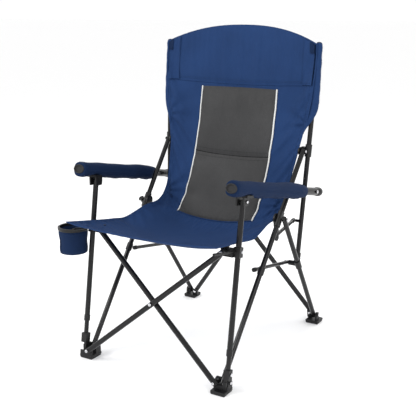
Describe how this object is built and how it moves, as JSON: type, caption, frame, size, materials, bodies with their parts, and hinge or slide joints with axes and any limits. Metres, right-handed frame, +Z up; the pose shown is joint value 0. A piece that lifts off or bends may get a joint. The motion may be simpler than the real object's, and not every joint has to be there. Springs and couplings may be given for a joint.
{
  "type": "folding camp chair",
  "caption": "Folding camp chair with crossed tube legs, a sling seat and high arched back, padded arms and a hanging cup holder.",
  "frame": {"origin": "centre of the bounding box on the ground plane", "axes": "+Z up, the sitter faces -Y, +X to the right of someone looking at the chair's front"},
  "size_m": [0.6848, 0.737, 1.041],
  "materials": {
    "black_tube": "satin black powder coat",
    "black_plastic": "moulded matte black",
    "sole_rubber": "ribbed black",
    "navy_cloth": "woven polyester",
    "navy_dark_cloth": "woven polyester over foam",
    "grey_cloth": "fine woven charcoal over foam"
  },
  "bodies": {
    "foot_l": {"front_foot_l": "black_plastic", "front_sole_l": "sole_rubber", "post_clamp_l": "black_plastic", "post_lower_l": "black_tube"},
    "foot_r": {"front_foot_r": "black_plastic", "front_sole_r": "sole_rubber", "post_clamp_r": "black_plastic", "post_lower_r": "black_tube"},
    "cross_a": {"front_x_a": "black_tube"},
    "cross_b": {"front_x_b": "black_tube"},
    "post_l": {"post_upper_l": "black_tube", "seat_bracket_l": "black_plastic", "cup_rim": "black_plastic", "cup_pouch": "navy_dark_cloth"},
    "post_r": {"post_upper_r": "black_tube", "seat_bracket_r": "black_plastic"},
    "seat_front": {"seat_front": "navy_cloth"},
    "seat_rear": {"seat_rear": "navy_cloth"},
    "rear_a": {"rear_x_a": "black_tube"},
    "rear_b": {"rear_x_b": "black_tube"},
    "diag_l": {"diagonal_l": "black_tube", "hinge_plate_l": "black_plastic"},
    "leg_l": {"rear_leg_l": "black_tube", "leg_joint_l": "black_plastic"},
    "rfoot_l": {"rear_foot_l": "black_plastic", "rear_sole_l": "sole_rubber"},
    "link_l": {"side_link_l": "black_tube"},
    "collar_l": {"link_collar_l": "black_plastic"},
    "strut_l": {"strut_l": "black_tube"},
    "guide_l": {"back_guide_l": "black_plastic"},
    "back_l": {"back_post_l": "black_tube", "post_shoe_l": "black_plastic", "post_sleeve_l": "navy_cloth", "back_fabric": "navy_cloth", "back_pad": "grey_cloth"},
    "arm_l": {"arm_tube_l": "black_tube", "arm_sleeve_l": "navy_dark_cloth", "arm_front_cap_l": "black_plastic", "arm_rear_cap_l": "black_plastic", "arm_saddle_l": "black_plastic"},
    "diag_r": {"diagonal_r": "black_tube", "hinge_plate_r": "black_plastic"},
    "leg_r": {"rear_leg_r": "black_tube", "leg_joint_r": "black_plastic"},
    "rfoot_r": {"rear_foot_r": "black_plastic", "rear_sole_r": "sole_rubber"},
    "link_r": {"side_link_r": "black_tube"},
    "collar_r": {"link_collar_r": "black_plastic"},
    "strut_r": {"strut_r": "black_tube"},
    "guide_r": {"back_guide_r": "black_plastic"},
    "back_r": {"back_post_r": "black_tube", "post_shoe_r": "black_plastic", "post_sleeve_r": "navy_cloth"},
    "arm_r": {"arm_tube_r": "black_tube", "arm_sleeve_r": "navy_dark_cloth", "arm_front_cap_r": "black_plastic", "arm_rear_cap_r": "black_plastic", "arm_saddle_r": "black_plastic"}
  },
  "joints": [
    {"name": "fold", "type": "hinge", "parent": "foot_l", "child": "cross_a", "pos_m": [-0.2029, -0.33019, 0.03338], "axis": [0, -0.9877, 0.1564], "range_deg": [0, 36], "deforming": ["seat_front", "seat_rear", "back_fabric", "back_pad", "arm_sleeve_l", "arm_sleeve_r"]},
    {"name": "cross_pivot", "type": "hinge", "parent": "cross_a", "child": "cross_b", "pos_m": [0.0261, -0.29092, 0.22509], "axis": [0, -0.9877, 0.1564], "range_deg": [-72, 0]},
    {"name": "foot_r_pivot", "type": "hinge", "parent": "cross_b", "child": "foot_r", "pos_m": [0.2551, -0.31281, 0.03062], "axis": [0, -0.9877, 0.1564], "range_deg": [0, 36]},
    {"name": "post_l_pivot", "type": "hinge", "parent": "cross_b", "child": "post_l", "pos_m": [-0.2029, -0.25164, 0.41681], "axis": [0, -0.9877, 0.1564], "range_deg": [0, 36]},
    {"name": "post_r_pivot", "type": "hinge", "parent": "cross_a", "child": "post_r", "pos_m": [0.2551, -0.26903, 0.41956], "axis": [0, -0.9877, 0.1564], "range_deg": [-36, 0]},
    {"name": "diagonal_l_pivot", "type": "hinge", "parent": "foot_l", "child": "diag_l", "pos_m": [-0.2174, -0.2885, 0.03], "axis": [1, 0, 0], "range_deg": [0, 26.09]},
    {"name": "leg_l_pivot", "type": "hinge", "parent": "diag_l", "child": "leg_l", "pos_m": [-0.2475, 0.0411, 0.4505], "axis": [1, 0, 0], "range_deg": [-66.19, 0]},
    {"name": "rear_foot_l_pivot", "type": "hinge", "parent": "leg_l", "child": "rfoot_l", "pos_m": [-0.2329, 0.3355, 0.03], "axis": [1, 0, 0], "range_deg": [0, 19.96]},
    {"name": "rear_cross_l_pivot", "type": "hinge", "parent": "rfoot_l", "child": "rear_a", "pos_m": [-0.2134, 0.33992, 0.02806], "axis": [0, -0.9755, -0.2198], "range_deg": [0, 25.33]},
    {"name": "link_l_pivot", "type": "hinge", "parent": "leg_l", "child": "link_l", "pos_m": [-0.2022, 0.1684, 0.2686], "axis": [1, 0, 0], "range_deg": [0, 121.49]},
    {"name": "collar_l_slide", "type": "slide", "parent": "diag_l", "child": "collar_l", "axis": [-0.0237, 0.6167, 0.7868], "range_m": [-0.28103, 0]},
    {"name": "strut_l_pivot", "type": "hinge", "parent": "diag_l", "child": "strut_l", "pos_m": [-0.2094, 0.0495, 0.386], "axis": [1, 0, 0], "range_deg": [0, 42.65]},
    {"name": "guide_l_pivot", "type": "hinge", "parent": "diag_l", "child": "guide_l", "pos_m": [-0.2359, 0.1933, 0.6447], "axis": [1, 0, 0], "range_deg": [-29.89, 0]},
    {"name": "back_post_l_slide", "type": "slide", "parent": "guide_l", "child": "back_l", "axis": [-0.0379, 0.0871, 0.9955], "range_m": [-0.10251, 0]},
    {"name": "arm_l_pivot", "type": "hinge", "parent": "back_l", "child": "arm_l", "pos_m": [-0.2704, 0.2035, 0.513], "axis": [1, 0, 0], "range_deg": [-71.4, 0]},
    {"name": "diagonal_r_pivot", "type": "hinge", "parent": "foot_r", "child": "diag_r", "pos_m": [0.2696, -0.2885, 0.03], "axis": [1, 0, 0], "range_deg": [0, 26.09]},
    {"name": "leg_r_pivot", "type": "hinge", "parent": "diag_r", "child": "leg_r", "pos_m": [0.2997, 0.0411, 0.4505], "axis": [1, 0, 0], "range_deg": [-66.19, 0]},
    {"name": "rear_foot_r_pivot", "type": "hinge", "parent": "leg_r", "child": "rfoot_r", "pos_m": [0.2851, 0.3355, 0.03], "axis": [1, 0, 0], "range_deg": [0, 19.96]},
    {"name": "rear_cross_r_pivot", "type": "hinge", "parent": "rfoot_r", "child": "rear_b", "pos_m": [0.2656, 0.35708, 0.03193], "axis": [0, -0.9755, -0.2198], "range_deg": [-25.33, 0]},
    {"name": "link_r_pivot", "type": "hinge", "parent": "leg_r", "child": "link_r", "pos_m": [0.2544, 0.1684, 0.2686], "axis": [1, 0, 0], "range_deg": [0, 121.49]},
    {"name": "collar_r_slide", "type": "slide", "parent": "diag_r", "child": "collar_r", "axis": [0.0237, 0.6167, 0.7868], "range_m": [-0.28103, 0]},
    {"name": "strut_r_pivot", "type": "hinge", "parent": "diag_r", "child": "strut_r", "pos_m": [0.2616, 0.0495, 0.386], "axis": [1, 0, 0], "range_deg": [0, 42.65]},
    {"name": "guide_r_pivot", "type": "hinge", "parent": "diag_r", "child": "guide_r", "pos_m": [0.2881, 0.1933, 0.6447], "axis": [1, 0, 0], "range_deg": [-29.89, 0]},
    {"name": "back_post_r_slide", "type": "slide", "parent": "guide_r", "child": "back_r", "axis": [0.0379, 0.0871, 0.9955], "range_m": [-0.10251, 0]},
    {"name": "arm_r_pivot", "type": "hinge", "parent": "back_r", "child": "arm_r", "pos_m": [0.3226, 0.2035, 0.513], "axis": [1, 0, 0], "range_deg": [-71.4, 0]},
    {"name": "seat_front_fold", "type": "hinge", "parent": "post_l", "child": "seat_front", "pos_m": [-0.1959, -0.2585, 0.438], "axis": [1, 0, 0], "range_deg": [-80, 0]},
    {"name": "seat_rear_fold", "type": "hinge", "parent": "diag_l", "child": "seat_rear", "pos_m": [-0.1959, 0.0485, 0.4], "axis": [1, 0, 0], "range_deg": [0, 51.91]}
  ],
  "couplings": [
    {"joint": "cross_pivot", "follows": "fold", "ratio": -2},
    {"joint": "foot_r_pivot", "follows": "fold", "ratio": 1},
    {"joint": "post_l_pivot", "follows": "fold", "ratio": 1},
    {"joint": "post_r_pivot", "follows": "fold", "ratio": -1},
    {"joint": "diagonal_l_pivot", "follows": "fold", "ratio": 0.7247},
    {"joint": "leg_l_pivot", "follows": "fold", "ratio": -1.8385},
    {"joint": "rear_foot_l_pivot", "follows": "fold", "ratio": 0.55439},
    {"joint": "rear_cross_l_pivot", "follows": "fold", "ratio": 0.70368},
    {"joint": "link_l_pivot", "follows": "fold", "ratio": 3.3748},
    {"joint": "collar_l_slide", "follows": "fold", "m_per_rad": -0.44728},
    {"joint": "strut_l_pivot", "follows": "fold", "ratio": 1.1846},
    {"joint": "guide_l_pivot", "follows": "fold", "ratio": -0.83032},
    {"joint": "back_post_l_slide", "follows": "fold", "m_per_rad": -0.16315},
    {"joint": "arm_l_pivot", "follows": "fold", "ratio": -1.9832},
    {"joint": "diagonal_r_pivot", "follows": "fold", "ratio": 0.7247},
    {"joint": "leg_r_pivot", "follows": "fold", "ratio": -1.8385},
    {"joint": "rear_foot_r_pivot", "follows": "fold", "ratio": 0.55439},
    {"joint": "rear_cross_r_pivot", "follows": "fold", "ratio": -0.70368},
    {"joint": "link_r_pivot", "follows": "fold", "ratio": 3.3748},
    {"joint": "collar_r_slide", "follows": "fold", "m_per_rad": -0.44728},
    {"joint": "strut_r_pivot", "follows": "fold", "ratio": 1.1846},
    {"joint": "guide_r_pivot", "follows": "fold", "ratio": -0.83032},
    {"joint": "back_post_r_slide", "follows": "fold", "m_per_rad": -0.16315},
    {"joint": "arm_r_pivot", "follows": "fold", "ratio": -1.9832},
    {"joint": "seat_front_fold", "follows": "fold", "ratio": -2.2222},
    {"joint": "seat_rear_fold", "follows": "fold", "ratio": 1.442}
  ]
}
